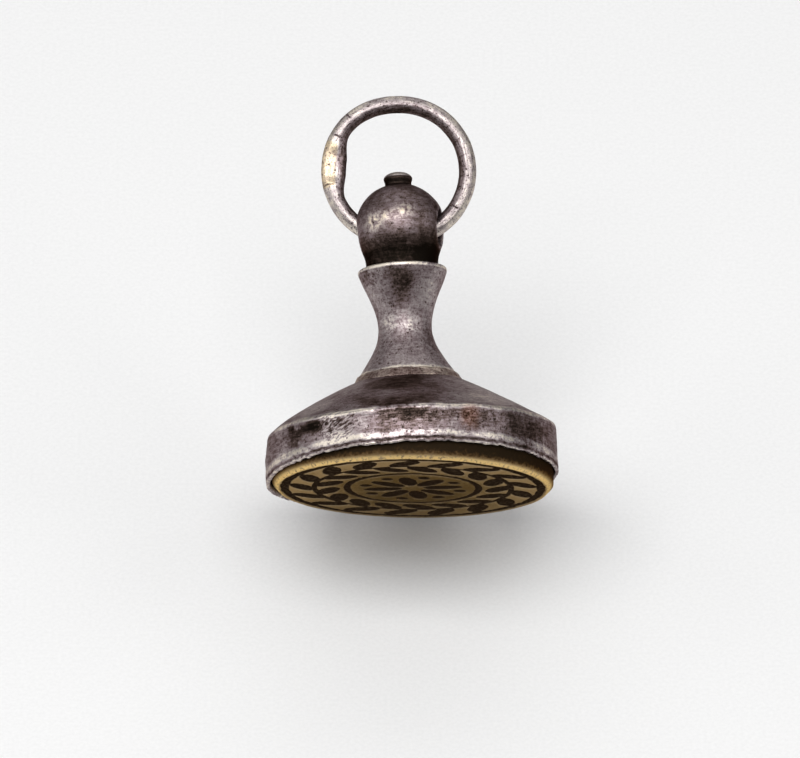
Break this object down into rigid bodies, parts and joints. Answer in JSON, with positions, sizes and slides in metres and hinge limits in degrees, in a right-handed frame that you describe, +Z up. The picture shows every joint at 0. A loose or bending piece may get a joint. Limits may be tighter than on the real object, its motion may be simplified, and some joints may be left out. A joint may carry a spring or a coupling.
{
  "type": "wax seal stamp",
  "caption": "Hand-made wax seal: an engraved round brass matrix in a tarnished silver mount with a waisted stem and a bored ball, hung from a wire ring that swings.",
  "frame": {"origin": "middle of the engraved seal face, which the stamp stands on", "axes": "+Z up the stem towards the ring, X along the ball's bore and the ring's swing axis, -Y towards the viewer of the picture"},
  "size_m": [0.028, 0.028, 0.0382],
  "materials": {
    "matrix_brass": "engraved, worn bright at the border, dark brown in the cuts and up the side",
    "mount_silver": "tarnished, pitted and scratched, worn bright along the edges",
    "ring_silver": "worn bright from handling, dull in the hollows",
    "solder": "rough, dull, slightly brassy",
    "cement": "matt, brown, hidden inside the base"
  },
  "bodies": {
    "stamp": {"seal_matrix": "matrix_brass", "bezel_band": "mount_silver", "dome_shell": "mount_silver", "cement_bed": "cement", "stem": "mount_silver", "solder_seam": "solder", "ball_dowel": "mount_silver", "ball_finial": "mount_silver", "finial_button": "mount_silver"},
    "ring": {"suspension_ring": "ring_silver"}
  },
  "joints": [
    {"name": "ring_swing", "type": "hinge", "parent": "stamp", "child": "ring", "pos_m": [0, 0, 0.02495], "axis": [1, 0, 0], "range_deg": [-160, 160]}
  ]
}
